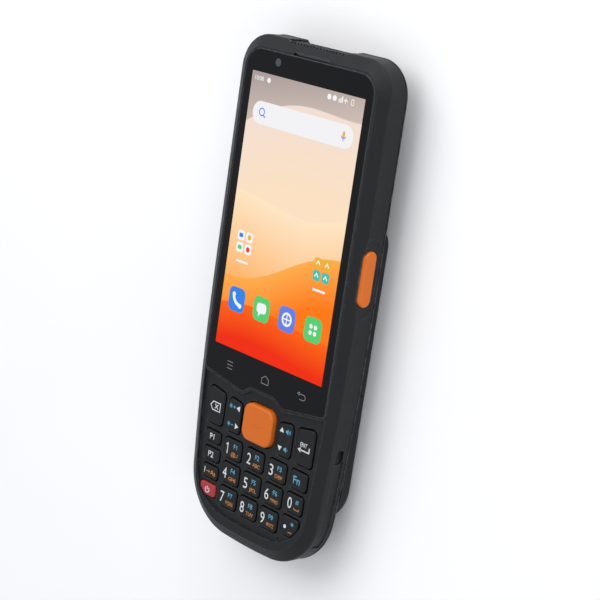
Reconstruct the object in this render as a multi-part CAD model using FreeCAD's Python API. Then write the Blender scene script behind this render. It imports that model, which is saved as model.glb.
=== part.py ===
"""Hand-held barcode data terminal: touch screen, keypad, removable battery and scan window.

The terminal lies on its back. X runs to the right across the screen, Y runs to the top end with
the scan window, Z rises out of the screen. The origin is under the middle of the body, on the flat
back of the battery. All sizes are in millimetres.
"""
import FreeCAD, Part
import math
import os

V = FreeCAD.Vector

# Body outline, seen from the front
BODY_WIDTH = 65.6
BODY_LENGTH = 162.6
TOP_CORNER_R = 11.3
TAPER_START_Y = 0.3
LOW_CORNER_X = 10.2
LOW_CORNER_Y = -61.0
LOW_CORNER_R = 20.0

# Levels through the thickness
BACK_Z = 5.7
PARTING_Z = 8.2
CREASE_Z = 14.8
ROOF_Z = 14.9
KEY_FIELD_Z = 16.2
FRONT_Z = 17.0
GLASS_Z = 17.2
BAY_ROOF_Z = 8.5
BAY_CEILING = 1.0
WALL = 2.0
BACK_WALL = 1.6
FRONT_SLOPE = 3.7
CREASE_R = 0.8
BACK_BEVEL = 2.2
RIM_OUT = 0.15
SEAM_BEVEL = 0.2
GASKET_IN = 0.7
GASKET_OUT = 1.3
GASKET_THICK = 0.5

# Screen and cover glass
SCREEN_Y = 25.3
ACTIVE_WIDTH = 49.8
ACTIVE_HEIGHT = 88.5
GLASS_HALF = 28.35
GLASS_TOP = 51.65
GLASS_SIDE_LOW = -53.6
GLASS_LOWEST = -56.65
GLASS_NOTCH_Y = -54.2
GLASS_NOTCH_OUT = 9.25
GLASS_NOTCH_IN = 5.47
GLASS_THICK = 1.1
ADHESIVE_THICK = 0.2
GLASS_GAP = 0.12
RIM_WIDTH = 0.75
DISPLAY_HALF = 26.3
DISPLAY_LOW = -49.0
DISPLAY_HIGH = 45.4
DISPLAY_Z = 13.4
DISPLAY_GAP = 0.2

# Earpiece, cameras, microphone and sounders: middle x, y and sizes
EARPIECE_SLOT = (-8.0, 7.6, 76.9, 77.85)
FRONT_CAMERA = (-14.0, 73.7)
MICROPHONE = (14.85, -72.4)
REAR_CAMERA = (-17.0, 56.0)
REAR_LENS_R = 3.2
LENS_RING_R = 4.3
FLASH = (-7.5, 56.0)
FLASH_R = 2.2
MOTOR = (-18.5, 65.7)
MOTOR_R = 4.0
SLOT_COUNT = 5
SLOT_PITCH = 2.2

# Contacts of the battery and the dock
CONTACT_X = (-6.0, -2.0, 2.0, 6.0)
CONTACT_Y = (20.5, 23.5)
DOCK_Y = (-72.0, -68.6)

# Keypad
KEY_GAP = 0.35
KEY_BASE_Z = 14.3
KEY_TOP_Z = 16.7
SCAN_KEY_TOP_Z = 17.9
FLANGE_THICK = 0.5
FLANGE_OUT = 0.6
KEY_EDGE_R = 0.55
SCAN_KEY_EDGE_R = 0.8
KEY_CORNER_R = 1.1
SCAN_KEY = (0.0, -39.5, 13.5, 12.4, 3.2)
NAV_LOW = -46.0
NAV_KEY = (17.35, 25.05, -34.75, -33.4)
ROCKER = (8.85, 15.15, -35.7, -34.6)
ROCKER_PIN_R = 0.35
ROCKER_PIN_Z = 14.5
ROCKER_END = 3.4
DIGIT_W = 8.1
DIGIT_H = 6.6
DIGIT_ROWS = [-51.45, -59.7, -67.9]
DIGIT_COLUMN = [10.6, 10.2, 9.85]
SIDE_W = 7.4
LEFT_ROWS = [-50.3, -56.25, -62.2, -68.25]
LEFT_COLUMN = [-20.7, -20.2, -19.85, -19.8]
LEFT_HEIGHTS = [3.9, 4.2, 4.3, 4.2]
RIGHT_ROWS = [-51.1, -58.95, -66.8]
RIGHT_COLUMN = [20.6, 20.15, 19.75]
RIGHT_HEIGHTS = [5.9, 6.2, 6.4]
WELL_BEVEL = 0.3
FIELD_INSET = 3.9
FIELD_LIFT = 2.9
KEYBOARD_Z = 12.0
KEYBOARD_THICK = 0.8
DOME_R = 2.0
DOME_THICK = 0.25
MAT_Z = 13.1
MAT_THICK = 0.3
MAT_BUMP_Z = 13.75
MAT_BUMP_R = 1.5

# Battery
BATTERY_INSET = 4.8
BATTERY_TOP_Y = 30.3
BATTERY_LOW_Y = -62.7
BATTERY_TOP_R = 6.0
BATTERY_LOW_R = 11.0
BATTERY_HIGH_Z = 8.4
BATTERY_GAP = 0.25
BAY_SIDE = 1.2
COVER_HALF = 29.4
COVER_TOP_Y = 31.6
COVER_LOW_Y = -66.3
COVER_TOP_R = 6.6
COVER_LOW_R = 13.0
COVER_EDGE_R = 3.6
COVER_Z = 5.5

# Battery latch
LATCH_HALF = 7.0
LATCH_LOW_Y = 19.5
LATCH_END_Y = 27.6
LATCH_TRAVEL = 3.0
LATCH_GAP = 0.3
LATCH_PLATE = (0.35, 2.2)
TONGUE_HALF = 4.0
TONGUE_Z = (5.9, 7.4)
RISE_HALF = 1.5

# Side scan key
SIDE_KEY_Y = 16.7
SIDE_KEY_Z = 12.8
SIDE_KEY_LENGTH = 17.4
SIDE_KEY_HEIGHT = 4.6
SIDE_KEY_OUT = 33.4
SIDE_KEY_IN = 31.2
SIDE_KEY_GAP = 0.25
SIDE_POCKET_X = 30.6
SIDE_BOSS_X = 29.3
SIDE_BOSS_Z = 9.9
SIDE_BOSS_HALF = 11.0
SIDE_KEY_EDGE_R = 0.8
STEM_LENGTH = 12.0
STEM_HEIGHT = 2.4
STEM_END_X = 29.2
STEM_GAP = 0.2
SCOOP_DEPTH = 0.4
SCOOP_HALF = 12.3
SCOOP_HEIGHT = 3.6

# Strap slots
STRAP_Y = (-42.6, -37.9)
STRAP_Z = (10.1, 13.3)
STRAP_DEPTH = 1.5
STRAP_R = 0.9
CHANNEL_Z = (9.5, 12.8)
CHANNEL_DEPTH = 0.35

# Scan window bay at the top end
BAY_HALF = 12.0
SLANT_TOP = (80.9, 10.8)
SLANT_LOW = (76.4, 5.7)
BEZEL_THICK = 2.2
WINDOW_WIDTH = 19.0
WINDOW_HEIGHT = 4.7
WINDOW_THICK = 1.0
BROW_DEPTH = 0.6
BROW_SIDE = 1.0
BROW_HIGH_Z = 15.0
RIB_PITCH = 1.4
RIB_COUNT = 17
RIB_GROOVE = 0.7
RIB_DEPTH = 0.5
RIB_HIGH_Z = 15.6

# Port flap and port at the bottom end
FLAP_HALF = 8.2
FLAP_LOW_Z = 9.1
FLAP_HIGH_Z = 13.3
FLAP_FACE_Y = -81.15
FLAP_THICK = 1.3
FLAP_PIN_Y = -80.45
FLAP_PIN_R = 0.45
FLAP_KNUCKLE_R = 0.75
FLAP_RECESS_Y = -79.6
PORT_Z = 11.0
PORT_WIDTH = 9.0
PORT_HEIGHT = 3.3

# Housing screws
SCREWS_IN_FRAME = [(-24.5, 72.5), (24.5, 72.5), (-24.5, 36.0), (24.5, 36.0)]
SCREWS_IN_FRONT = [(-18.5, -74.0), (18.5, -74.0)]
SCREW_R = 0.9
SCREW_HEAD_R = 1.9
SCREW_SEAT_Z = 7.1
SCREW_HEAD = 1.2
SCREW_END_Z = 12.1
FRONT_BOSS_R = 2.1
BACK_BOSS_R = 3.2

# Values worked out from the ones above
HALF_WIDTH = BODY_WIDTH / 2
TOP_Y = BODY_LENGTH / 2
LOW_Y = -BODY_LENGTH / 2


def blend_radius(across, along, corner_r):
    """Radius of the long arc that meets a corner arc of corner_r smoothly."""
    return (across ** 2 + along ** 2 - corner_r ** 2) / (2 * (across - corner_r))


SIDE_R = blend_radius(HALF_WIDTH - LOW_CORNER_X, TAPER_START_Y - LOW_CORNER_Y, LOW_CORNER_R)
END_R = blend_radius(LOW_CORNER_Y - LOW_Y, LOW_CORNER_X, LOW_CORNER_R)
SIDE_CENTRE_X = HALF_WIDTH - SIDE_R
END_CENTRE_Y = LOW_Y + END_R


# Basic shapes
def slab(x0, x1, y0, y1, z0, z1):
    return Part.makeBox(x1 - x0, y1 - y0, z1 - z0, V(x0, y0, z0))


def post(x, y, r, z0, z1):
    return Part.makeCylinder(r, z1 - z0, V(x, y, z0), V(0, 0, 1))


def prism(wire, z0, z1):
    """Straight solid over a flat wire that lies at z = 0."""
    face = Part.Face(wire)
    face.translate(V(0, 0, z0))
    return face.extrude(V(0, 0, z1 - z0))


def arc_edge(cx, cy, r, start, finish):
    """Arc in the XY plane, angles in radians."""
    angles = [start, (start + finish) / 2, finish]
    points = [V(cx + r * math.cos(a), cy + r * math.sin(a), 0) for a in angles]
    return Part.Arc(*points).toShape()


def rounded_wire(corners):
    """Closed wire through (x, y, radius) corners, each rounded by its own radius."""
    arcs = []
    count = len(corners)
    for i, (x, y, r) in enumerate(corners):
        here = V(x, y, 0)
        before = V(corners[i - 1][0], corners[i - 1][1], 0)
        after = V(corners[(i + 1) % count][0], corners[(i + 1) % count][1], 0)
        back = (before - here).normalize()
        ahead = (after - here).normalize()
        half = back.getAngle(ahead) / 2
        reach = r / math.tan(half)
        inner = V(back + ahead).normalize()
        middle = here + inner * (r / math.sin(half) - r)
        arcs.append((here + back * reach, middle, here + ahead * reach))
    edges = []
    for i, (start, middle, finish) in enumerate(arcs):
        edges.append(Part.Arc(start, middle, finish).toShape())
        following = arcs[(i + 1) % count][0]
        if (following - finish).Length > 0.001:
            edges.append(Part.LineSegment(finish, following).toShape())
    return Part.Wire(edges)


def rounded_box(x0, x1, y0, y1, r, z0, z1):
    """Upright block with rounded corners in plan."""
    corners = [(x0, y0, r), (x1, y0, r), (x1, y1, r), (x0, y1, r)]
    return prism(rounded_wire(corners), z0, z1)


def grown(wire, distance):
    """The same outline, moved outwards, or inwards where distance is negative."""
    return wire.makeOffset2D(distance)


def flat_edges(shape, z):
    """Edges that lie in the plane at height z."""
    return [e for e in shape.Edges
            if abs(e.BoundBox.ZMin - z) < 0.001 and abs(e.BoundBox.ZMax - z) < 0.001]


def side_profile(points, x0, x1):
    """Solid from a (y, z) outline, running from x0 to x1."""
    corners = [V(x0, y, z) for y, z in points]
    return Part.Face(Part.makePolygon(corners + corners[:1])).extrude(V(x1 - x0, 0, 0))


def side_block(y0, y1, z0, z1, r, x0, x1):
    """Block along X for the right side, with rounded corners as seen from the side."""
    block = prism(rounded_wire([(-z0, y0, r), (-z0, y1, r), (-z1, y1, r), (-z1, y0, r)]), x0, x1)
    block.rotate(V(0, 0, 0), V(0, 1, 0), 90)
    return block


def side_capsule(half_length, half_height, x0, x1):
    """Block along X with round ends, centred on the side key."""
    return side_block(SIDE_KEY_Y - half_length, SIDE_KEY_Y + half_length, SIDE_KEY_Z - half_height,
                      SIDE_KEY_Z + half_height, half_height - 0.01, x0, x1)


def mirrored(shape):
    """The same piece on the other side of the body."""
    return shape.mirror(V(0, 0, 0), V(1, 0, 0))


def fused(pieces):
    return pieces[0].multiFuse(pieces[1:]).removeSplitter() if len(pieces) > 1 else pieces[0]


def group(pieces):
    """Separate solids kept in one node."""
    return Part.makeCompound(pieces)


def save(name, shape):
    solids = shape.Solids
    if not solids or not shape.isValid():
        print("check", name, "solids", len(solids), "valid", shape.isValid())
    shape.exportStep("parts/" + name + ".step")


# Outlines
def body_wire(inset):
    """Outline of the body, moved inwards by inset."""
    turn_side = math.atan2(TAPER_START_Y - LOW_CORNER_Y, LOW_CORNER_X - SIDE_CENTRE_X)
    turn_end = math.atan2(LOW_CORNER_X, END_CENTRE_Y - LOW_CORNER_Y)
    quarter = math.pi / 2
    top_x = HALF_WIDTH - TOP_CORNER_R
    top_y = TOP_Y - TOP_CORNER_R
    half = HALF_WIDTH - inset
    top_r = TOP_CORNER_R - inset
    low_r = LOW_CORNER_R - inset
    edges = [
        Part.LineSegment(V(-top_x, TOP_Y - inset, 0), V(top_x, TOP_Y - inset, 0)).toShape(),
        arc_edge(top_x, top_y, top_r, quarter, 0),
        Part.LineSegment(V(half, top_y, 0), V(half, TAPER_START_Y, 0)).toShape(),
        arc_edge(SIDE_CENTRE_X, TAPER_START_Y, SIDE_R - inset, 0, -turn_side),
        arc_edge(LOW_CORNER_X, LOW_CORNER_Y, low_r, -turn_side, turn_end - quarter),
        arc_edge(0, END_CENTRE_Y, END_R - inset, turn_end - quarter, -turn_end - quarter),
        arc_edge(-LOW_CORNER_X, LOW_CORNER_Y, low_r, -turn_end - quarter, turn_side - math.pi),
        arc_edge(-SIDE_CENTRE_X, TAPER_START_Y, SIDE_R - inset, turn_side - math.pi, -math.pi),
        Part.LineSegment(V(-half, TAPER_START_Y, 0), V(-half, top_y, 0)).toShape(),
        arc_edge(-top_x, top_y, top_r, math.pi, quarter),
    ]
    return Part.Wire(edges)


def battery_wire(inset):
    """Outline of the battery: it follows the taper of the body and has round corners."""
    side_inset = BATTERY_INSET + inset
    half = HALF_WIDTH - side_inset
    top = BATTERY_TOP_Y - inset
    low = BATTERY_LOW_Y + inset
    top_r = BATTERY_TOP_R - inset
    low_r = BATTERY_LOW_R - inset
    side_r = SIDE_R - side_inset
    low_y = low + low_r
    low_x = SIDE_CENTRE_X + math.sqrt((side_r - low_r) ** 2 - (TAPER_START_Y - low_y) ** 2)
    turn = math.atan2(TAPER_START_Y - low_y, low_x - SIDE_CENTRE_X)
    quarter = math.pi / 2
    edges = [
        Part.LineSegment(V(-(half - top_r), top, 0), V(half - top_r, top, 0)).toShape(),
        arc_edge(half - top_r, top - top_r, top_r, quarter, 0),
        Part.LineSegment(V(half, top - top_r, 0), V(half, TAPER_START_Y, 0)).toShape(),
        arc_edge(SIDE_CENTRE_X, TAPER_START_Y, side_r, 0, -turn),
        arc_edge(low_x, low_y, low_r, -turn, -quarter),
        Part.LineSegment(V(low_x, low, 0), V(-low_x, low, 0)).toShape(),
        arc_edge(-low_x, low_y, low_r, -quarter, turn - math.pi),
        arc_edge(-SIDE_CENTRE_X, TAPER_START_Y, side_r, turn - math.pi, -math.pi),
        Part.LineSegment(V(-half, TAPER_START_Y, 0), V(-half, top - top_r, 0)).toShape(),
        arc_edge(-(half - top_r), top - top_r, top_r, math.pi, quarter),
    ]
    return Part.Wire(edges)


def glass_wire():
    """Outline of the cover glass, with the notch over the middle scan key."""
    top = SCREEN_Y + GLASS_TOP
    side_low = SCREEN_Y + GLASS_SIDE_LOW
    lowest = SCREEN_Y + GLASS_LOWEST
    notch = SCREEN_Y + GLASS_NOTCH_Y
    right = [(GLASS_HALF, top, 6.5), (GLASS_HALF, side_low, 1.8),
             (GLASS_NOTCH_OUT, lowest, 1.2), (GLASS_NOTCH_IN, notch, 1.5)]
    left = [(-x, y, r) for x, y, r in reversed(right)]
    return rounded_wire(right + left)


def field_wire():
    """Outline of the sunk keypad field below the glass."""
    low = body_wire(FIELD_INSET)
    low.translate(V(0, FIELD_LIFT, 0))
    shape = prism(body_wire(FIELD_INSET), 0, 1).common(prism(low, 0, 1))
    shape = shape.common(slab(-40, 40, -90, SCREEN_Y + GLASS_SIDE_LOW, 0, 1))
    shape = shape.cut(prism(grown(glass_wire(), RIM_WIDTH), 0, 1))
    face = [f for f in shape.Faces if abs(f.BoundBox.ZMax) < 0.001][0]
    return face.OuterWire


# Keys: name, middle, size and corner list
def key_outline(x, y, width, height, corner_r=KEY_CORNER_R):
    w, h = width / 2, height / 2
    return [(x - w, y - h, corner_r), (x + w, y - h, corner_r),
            (x + w, y + h, corner_r), (x - w, y + h, corner_r)]


def slanted_outline(side, low, near, far, near_top, far_top):
    """Key whose top edge falls towards the middle, as the glass above it does."""
    corners = [(near, low, 1.3), (far, low, 1.3), (far, far_top, 1.6), (near, near_top, 1.3)]
    if side < 0:
        corners = [(-x, y, r) for x, y, r in reversed(corners)]
    return corners


def plain_keys():
    """Outlines of the keys that go straight down."""
    keys = {
        "key_backspace": slanted_outline(-1, NAV_LOW, *NAV_KEY),
        "key_enter": slanted_outline(1, NAV_LOW, *NAV_KEY),
    }
    for row in range(3):
        for column in range(3):
            x = (column - 1) * DIGIT_COLUMN[row]
            number = row * 3 + column + 1
            keys["key_%d" % number] = key_outline(x, DIGIT_ROWS[row], DIGIT_W, DIGIT_H)
    left_names = ["key_p1", "key_p2", "key_case", "key_power"]
    for name, x, y, height in zip(left_names, LEFT_COLUMN, LEFT_ROWS, LEFT_HEIGHTS):
        keys[name] = key_outline(x, y, SIDE_W, height, 1.0)
    right_names = ["key_fn", "key_0", "key_dot"]
    for name, x, y, height in zip(right_names, RIGHT_COLUMN, RIGHT_ROWS, RIGHT_HEIGHTS):
        keys[name] = key_outline(x, y, SIDE_W, height)
    # The two lowest outer keys have one corner cut back beside the round end of the body
    x, y, h = LEFT_COLUMN[3], LEFT_ROWS[3], LEFT_HEIGHTS[3] / 2
    w = SIDE_W / 2
    keys["key_power"] = [(x - w + 2.6, y - h, 1.5), (x + w, y - h, 1.0), (x + w, y + h, 1.0),
                         (x - w, y + h, 1.0), (x - w, y - h + 2.2, 1.2)]
    x, y, h = RIGHT_COLUMN[2], RIGHT_ROWS[2], RIGHT_HEIGHTS[2] / 2
    keys["key_dot"] = [(x - w, y - h, 1.1), (x + w - 2.6, y - h, 2.2), (x + w, y - h + 3.4, 2.4),
                       (x + w, y + h, 1.3), (x - w, y + h, 1.1)]
    return keys


def rocker_keys():
    """Outlines of the two tilting keys beside the middle scan key."""
    return {
        "rocker_left": slanted_outline(-1, NAV_LOW, *ROCKER),
        "rocker_right": slanted_outline(1, NAV_LOW, *ROCKER),
    }


def centre_of(corners):
    xs = [c[0] for c in corners]
    ys = [c[1] for c in corners]
    return (min(xs) + max(xs)) / 2, (min(ys) + max(ys)) / 2


def key_cap(corners, top_z, edge_r):
    """Keycap: the visible head and the flange that holds it under the front housing."""
    wire = rounded_wire(corners)
    head = prism(wire, KEY_BASE_Z, top_z)
    head = head.makeFillet(edge_r, flat_edges(head, top_z))
    flange = prism(grown(wire, FLANGE_OUT), KEY_BASE_Z, KEY_BASE_Z + FLANGE_THICK)
    return head.fuse(flange).removeSplitter()


def rocker_cap(corners):
    """Tilting keycap: a round pin on each side at its middle takes the place of the flange."""
    head = prism(rounded_wire(corners), KEY_BASE_Z, KEY_TOP_Z)
    head = head.makeFillet(KEY_EDGE_R, flat_edges(head, KEY_TOP_Z))
    x, y = centre_of(corners)
    reach = (ROCKER[1] - ROCKER[0]) / 2 + FLANGE_OUT
    pin = Part.makeCylinder(ROCKER_PIN_R, 2 * reach, V(x - reach, y, ROCKER_PIN_Z), V(1, 0, 0))
    return head.fuse(pin).removeSplitter()


def key_well(corners, gap=KEY_GAP):
    """Opening for one key, with a small bevel at the surface."""
    wire = rounded_wire(corners)
    well = prism(grown(wire, gap), ROOF_Z - 1, KEY_FIELD_Z + 1)
    lower = grown(wire, gap)
    lower.translate(V(0, 0, KEY_FIELD_Z - 0.25))
    upper = grown(wire, gap + WELL_BEVEL)
    upper.translate(V(0, 0, KEY_FIELD_Z + 0.05))
    bevel = Part.makeLoft([lower, upper], True, True)
    return well.fuse(bevel)


# Scan bay at the top end
def slant_frame(shape):
    """Puts a piece that was made round the origin, facing +Z, onto the slanted window face."""
    y = (SLANT_TOP[0] + SLANT_LOW[0]) / 2
    z = (SLANT_TOP[1] + SLANT_LOW[1]) / 2
    rise = math.atan2(SLANT_TOP[0] - SLANT_LOW[0], SLANT_TOP[1] - SLANT_LOW[1])
    turn = FreeCAD.Rotation(V(1, 0, 0), -90 - math.degrees(rise))
    shape.Placement = FreeCAD.Placement(V(0, y, z), turn)
    return shape


def slant_inner():
    """The window face moved into the body by the thickness of its bezel."""
    dy = SLANT_TOP[0] - SLANT_LOW[0]
    dz = SLANT_TOP[1] - SLANT_LOW[1]
    length = math.hypot(dy, dz)
    step = (-dz / length * BEZEL_THICK, dy / length * BEZEL_THICK)
    return [(y + step[0], z + step[1]) for y, z in (SLANT_TOP, SLANT_LOW)]


def scan_bay_cut():
    inner_top, inner_low = slant_inner()
    points = [inner_top, inner_low, (inner_low[0], BACK_Z - 2), (TOP_Y + 3, BACK_Z - 2),
              (TOP_Y + 3, SLANT_TOP[1]), SLANT_TOP]
    return side_profile(points, -BAY_HALF, BAY_HALF)


def brow_cuts():
    """Shallow recess across the top end with a row of fine grooves that run out on the sloped rim."""
    low = SLANT_TOP[1]
    half = BAY_HALF + BROW_SIDE
    floor_y = TOP_Y - BROW_DEPTH
    cuts = [slab(-half, half, floor_y, TOP_Y + 1, low - 1.2, BROW_HIGH_Z)]
    for i in range(RIB_COUNT):
        x = (i - (RIB_COUNT - 1) / 2) * RIB_PITCH
        cuts.append(slab(x - RIB_GROOVE / 2, x + RIB_GROOVE / 2, floor_y - RIB_DEPTH, TOP_Y + 1,
                         low + 0.4, RIB_HIGH_Z))
    return cuts


def scan_bezel():
    inner_top, inner_low = slant_inner()
    points = [SLANT_TOP, SLANT_LOW, (inner_low[0], BACK_Z), inner_low, inner_top]
    body = side_profile(points, -BAY_HALF + 0.05, BAY_HALF - 0.05)
    seat = Part.makeBox(WINDOW_WIDTH, WINDOW_HEIGHT, 5, V(-WINDOW_WIDTH / 2, -WINDOW_HEIGHT / 2, -1.3))
    through = Part.makeBox(WINDOW_WIDTH - 2, WINDOW_HEIGHT - 1.4, 8,
                           V(-WINDOW_WIDTH / 2 + 1, -WINDOW_HEIGHT / 2 + 0.7, -4))
    return body.cut(slant_frame(seat)).cut(slant_frame(through))


def scan_window():
    gap = 0.05
    plate = Part.makeBox(WINDOW_WIDTH - 2 * gap, WINDOW_HEIGHT - 2 * gap, WINDOW_THICK,
                         V(-WINDOW_WIDTH / 2 + gap, -WINDOW_HEIGHT / 2 + gap, -1.3))
    return slant_frame(plate)


def scan_engine():
    """Imager block with its lens and two light windows, nose slightly down."""
    block = Part.makeBox(20, 8, 4.6, V(-10, -4, -2.3))
    lens = Part.makeCylinder(1.7, 0.9, V(-3.5, 4, 0), V(0, 1, 0))
    aimer = Part.makeCylinder(0.9, 0.6, V(1.6, 4, 0), V(0, 1, 0))
    lamp = Part.makeBox(4.6, 0.5, 2.6, V(4, 4, -1.3))
    engine = fused([block, lens, aimer, lamp])
    engine.Placement = FreeCAD.Placement(V(0, 69.6, 10.36), FreeCAD.Rotation(V(1, 0, 0), -11))
    return engine


# Port and flap at the bottom end
def flap_recess():
    half = FLAP_HALF + 0.3
    return slab(-half, half, LOW_Y - 1, FLAP_RECESS_Y, PARTING_Z, FLAP_HIGH_Z + 0.25)


def port_hole():
    w, h = PORT_WIDTH / 2 + 0.1, PORT_HEIGHT / 2 + 0.1
    return slab(-w, w, LOW_Y, -76.9, PORT_Z - h, PORT_Z + h)


def port_boss():
    return slab(-7.5, 7.5, -79.5, -77.4, PARTING_Z, ROOF_Z + 0.2)


def port_flap():
    plate = slab(-FLAP_HALF, FLAP_HALF, FLAP_FACE_Y, FLAP_FACE_Y + FLAP_THICK, FLAP_LOW_Z, FLAP_HIGH_Z)
    knuckle = Part.makeCylinder(FLAP_KNUCKLE_R, 2 * FLAP_HALF, V(-FLAP_HALF, FLAP_PIN_Y, FLAP_LOW_Z),
                                V(1, 0, 0))
    lip = slab(-2.5, 2.5, FLAP_FACE_Y - 0.12, FLAP_FACE_Y + 0.3, FLAP_HIGH_Z - 0.9, FLAP_HIGH_Z - 0.3)
    bore = Part.makeCylinder(FLAP_PIN_R + 0.05, 30, V(-15, FLAP_PIN_Y, FLAP_LOW_Z), V(1, 0, 0))
    return fused([plate, knuckle, lip]).cut(bore)


def flap_pin():
    half = FLAP_HALF + 1.1
    return Part.makeCylinder(FLAP_PIN_R, 2 * half, V(-half, FLAP_PIN_Y, FLAP_LOW_Z), V(1, 0, 0))


def usb_port():
    """Oval metal socket, open at its outer end, with a tongue."""
    def oval(w, h, y0, y1):
        r = h / 2 - 0.01
        corners = [(-w / 2, -h / 2, r), (w / 2, -h / 2, r), (w / 2, h / 2, r), (-w / 2, h / 2, r)]
        body = prism(rounded_wire(corners), 0, y1 - y0)
        body.rotate(V(0, 0, 0), V(1, 0, 0), -90)
        body.translate(V(0, y0, PORT_Z))
        return body
    shell = oval(PORT_WIDTH, PORT_HEIGHT, FLAP_RECESS_Y + 0.1, -72.4)
    shell = shell.cut(oval(PORT_WIDTH - 0.6, PORT_HEIGHT - 0.6, FLAP_RECESS_Y - 0.5, -73.2))
    tongue = slab(-3.3, 3.3, -78.6, -73.1, PORT_Z - 0.35, PORT_Z + 0.35)
    return shell.fuse(tongue)


# Strap slots on both sides
def strap_cuts():
    """Slots for the wrist strap and the shallow channels from them to the bottom end."""
    y0, y1 = STRAP_Y
    ring = prism(body_wire(-2), *CHANNEL_Z).cut(prism(body_wire(CHANNEL_DEPTH), *CHANNEL_Z))
    channel = ring.common(slab(-40, 40, -72, y0 + 1, *CHANNEL_Z)).cut(slab(-22, 22, -90, -60, 0, 20))
    half = HALF_WIDTH - STRAP_DEPTH
    slot = side_block(y0, y1, *STRAP_Z, STRAP_R, half - 0.6, half + 4)
    return [channel, slot, mirrored(slot)]


# Housings
def sloped_edge(shape, z, inward, crease_z):
    """Slopes the rim at height z: it starts inward of the wall and meets the wall at crease_z."""
    edges = flat_edges(shape, z)
    down = z - crease_z
    sloped = shape.makeChamfer(inward, down, edges)
    wall_tops = flat_edges(sloped, crease_z)
    return sloped if wall_tops else shape.makeChamfer(down, inward, edges)


def side_key_cuts():
    """Pocket and stem way of the side key, in a shallow scoop with a sloped rim."""
    pocket = side_capsule(SIDE_KEY_LENGTH / 2 + SIDE_KEY_GAP, SIDE_KEY_HEIGHT / 2 + SIDE_KEY_GAP,
                          SIDE_POCKET_X, SIDE_KEY_OUT + 1)
    stem_half = STEM_LENGTH / 2 + STEM_GAP
    stem_high = STEM_HEIGHT / 2 + STEM_GAP
    stem = slab(SIDE_BOSS_X - 1, HALF_WIDTH, SIDE_KEY_Y - stem_half, SIDE_KEY_Y + stem_half,
                SIDE_KEY_Z - stem_high, SIDE_KEY_Z + stem_high)
    floor_x = HALF_WIDTH - SCOOP_DEPTH
    scoop = side_capsule(SCOOP_HALF, SCOOP_HEIGHT, floor_x, HALF_WIDTH + 1)
    inner = [e for e in scoop.Edges if e.BoundBox.XMax < floor_x + 0.001]
    return [pocket, stem, scoop.makeChamfer(SCOOP_DEPTH, inner)]


def screw_holes(radius, z0, z1, places):
    return [post(x, y, radius, z0, z1) for x, y in places]


def speaker_slots():
    """Slots in the back, right over the rear speaker."""
    steps = [i * SLOT_PITCH for i in range(SLOT_COUNT)]
    return [rounded_box(11.4, 23.5, 58.2 + y, 59.3 + y, 0.5, BACK_Z - 1, 7.5) for y in steps]


def front_housing(keys, rockers):
    shell = sloped_edge(prism(body_wire(0), PARTING_Z, FRONT_Z), FRONT_Z, FRONT_SLOPE, CREASE_Z)
    shell = shell.makeFillet(CREASE_R, flat_edges(shell, CREASE_Z))
    shell = shell.makeChamfer(SEAM_BEVEL, flat_edges(shell, PARTING_Z))
    shell = shell.cut(prism(body_wire(WALL), PARTING_Z - 1, ROOF_Z))
    bosses = screw_holes(FRONT_BOSS_R, PARTING_Z, ROOF_Z + 0.2, SCREWS_IN_FRONT)
    side_boss = slab(SIDE_BOSS_X, HALF_WIDTH - 1.2, SIDE_KEY_Y - SIDE_BOSS_HALF,
                     SIDE_KEY_Y + SIDE_BOSS_HALF, SIDE_BOSS_Z, ROOF_Z + 0.2)
    shell = fused([shell, side_boss, port_boss()] + bosses)

    cuts = [prism(grown(glass_wire(), GLASS_GAP), GLASS_Z - GLASS_THICK - ADHESIVE_THICK, FRONT_Z + 1)]
    cuts.append(slab(-DISPLAY_HALF - DISPLAY_GAP, DISPLAY_HALF + DISPLAY_GAP,
                     SCREEN_Y + DISPLAY_LOW - DISPLAY_GAP, SCREEN_Y + DISPLAY_HIGH + DISPLAY_GAP,
                     ROOF_Z - 1, FRONT_Z))
    field = prism(field_wire(), KEY_FIELD_Z, FRONT_Z + 1)
    cuts.append(field)
    for corners in list(keys.values()) + list(rockers.values()):
        cuts.append(key_well(corners))
    cuts += side_key_cuts()
    cuts += strap_cuts()
    cuts += [scan_bay_cut()] + brow_cuts()
    cuts += [flap_recess(), port_hole(), flap_pin()]
    cuts += screw_holes(SCREW_R + 0.05, PARTING_Z - 1, SCREW_END_Z + 0.5, SCREWS_IN_FRONT)
    cuts.append(rounded_box(*EARPIECE_SLOT, 0.4, ROOF_Z - 1, FRONT_Z + 1))
    cuts.append(post(*FRONT_CAMERA, 2.5, ROOF_Z - 1, FRONT_Z))
    cuts.append(post(*MICROPHONE, 0.45, ROOF_Z - 1, FRONT_Z))
    for cut in cuts:
        shell = shell.cut(cut)
    return shell.removeSplitter()


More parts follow.
